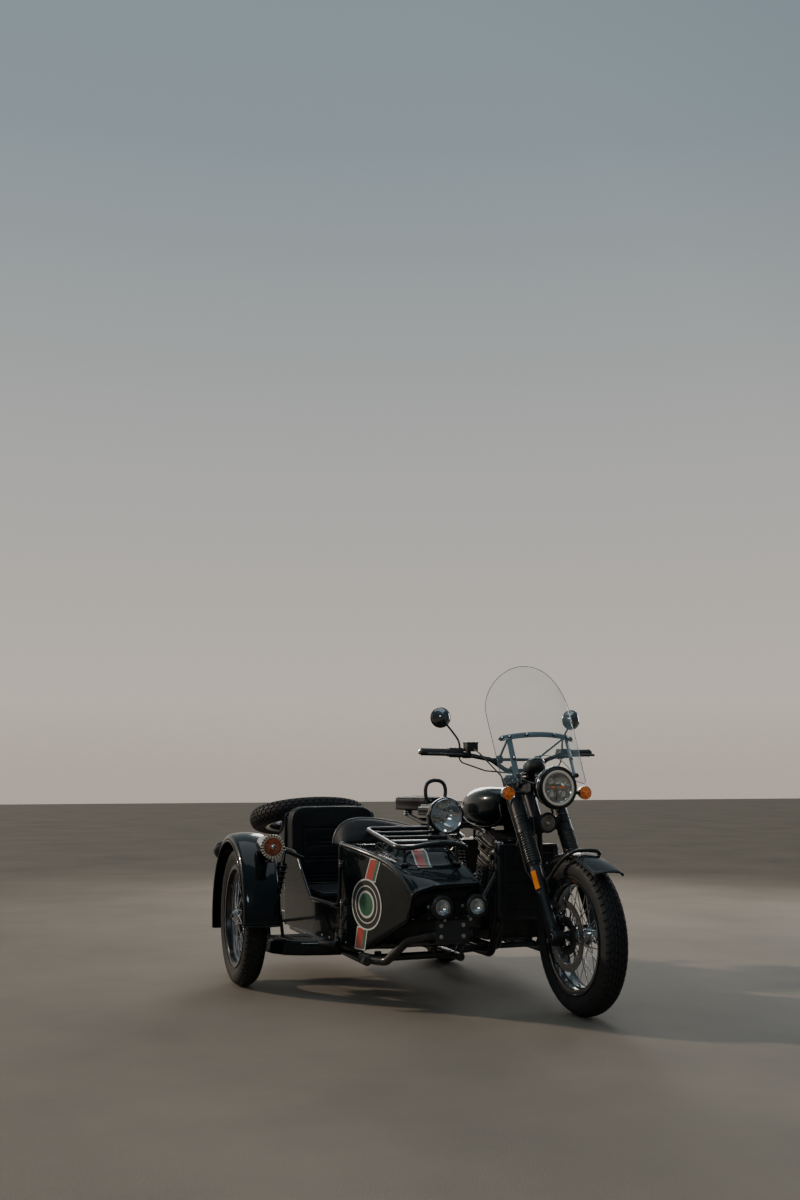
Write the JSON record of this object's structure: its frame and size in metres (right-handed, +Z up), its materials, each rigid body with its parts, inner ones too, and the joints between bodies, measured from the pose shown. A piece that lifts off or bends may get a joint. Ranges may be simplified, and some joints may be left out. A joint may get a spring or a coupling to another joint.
{
  "type": "sidecar motorcycle",
  "caption": "Retro motorcycle with a sidecar on its right: wire wheels, tall clear screen, nose rack and lamps, spare wheel on the tail.",
  "frame": {"origin": "on the ground, under the centre of the outfit's bounding box", "axes": "+Z up, +Y to the rear along the direction of travel, +X to the rider's left; the sidecar is at -X"},
  "size_m": [1.761, 2.6289, 1.5425],
  "materials": {
    "gloss_black": "gloss black paint",
    "satin_black": "satin black powder coat",
    "bright_metal": "bright plated steel",
    "raw_alloy": "cast alloy",
    "disc_steel": "ground steel",
    "tyre_rubber": "matt",
    "seat_cover": "padded, sewn channels",
    "clear_sheet": "clear",
    "bracket_blue": "satin blue-grey",
    "grip_rubber": "matt",
    "amber_lens": "ribbed lens in a bright cup",
    "lamp_glass": "black housing with clear lens",
    "red_lens": "red lens",
    "dial": "glass over a dark dial",
    "plate_blank": "blank plate"
  },
  "bodies": {
    "chassis": {"bumper_tube": "satin_black", "cowl": "gloss_black", "door_trim": "satin_black", "engine_case": "satin_black", "engine_cylinders": "raw_alloy", "exhausts": "bright_metal", "frame_cradle": "satin_black", "frame_spine": "satin_black", "fuel_tank": "gloss_black", "grab_handle": "satin_black", "mudguard_lamps": "amber_lens", "nose_lamps": "lamp_glass", "nose_plate": "satin_black", "number_plate": "plate_blank", "pillion_saddle": "seat_cover", "rack": "satin_black", "rack_lamp": "gloss_black", "radiator": "satin_black", "rear_mudguard": "gloss_black", "rear_shocks": "satin_black", "rider_saddle": "seat_cover", "side_covers": "gloss_black", "sidecar_arm": "satin_black", "sidecar_backrest": "seat_cover", "sidecar_cushion": "seat_cover", "sidecar_frame": "satin_black", "sidecar_mudguard": "gloss_black", "sidecar_struts": "satin_black", "spare_carrier": "satin_black", "spare_rim": "bright_metal", "spare_tyre": "tyre_rubber", "step_board": "satin_black", "swing_arm": "satin_black", "tail_lamp": "red_lens", "tub": "gloss_black"},
    "fork": {"fork_legs": "satin_black", "yokes": "satin_black", "handlebar": "satin_black", "grips": "grip_rubber", "levers": "satin_black", "mirrors": "satin_black", "headlight": "gloss_black", "lamp_brackets": "gloss_black", "front_signals": "amber_lens", "instrument": "dial", "windscreen": "clear_sheet", "screen_bracket": "bracket_blue", "front_mudguard": "gloss_black", "front_caliper": "raw_alloy", "brake_hose": "grip_rubber", "switch_looms": "grip_rubber"},
    "front_wheel": {"front_tyre": "tyre_rubber", "front_rim": "bright_metal", "front_disc": "disc_steel"},
    "rear_wheel": {"rear_tyre": "tyre_rubber", "rear_rim": "bright_metal"},
    "sidecar_wheel": {"sidecar_tyre": "tyre_rubber", "sidecar_rim": "bright_metal"}
  },
  "joints": [
    {"name": "steering", "type": "hinge", "parent": "chassis", "child": "fork", "pos_m": [0.4155, -0.519, 0.9], "axis": [0, 0.5373, 0.8434], "range_deg": [-34, 34]},
    {"name": "front_wheel_spin", "type": "hinge", "parent": "fork", "child": "front_wheel", "pos_m": [0.4155, -0.98154, 0.333], "axis": [1, 0, 0], "continuous": true},
    {"name": "rear_wheel_spin", "type": "hinge", "parent": "chassis", "child": "rear_wheel", "pos_m": [0.4155, 0.58846, 0.333], "axis": [1, 0, 0], "continuous": true},
    {"name": "sidecar_wheel_spin", "type": "hinge", "parent": "chassis", "child": "sidecar_wheel", "pos_m": [-0.7995, 0.22846, 0.333], "axis": [1, 0, 0], "continuous": true}
  ]
}
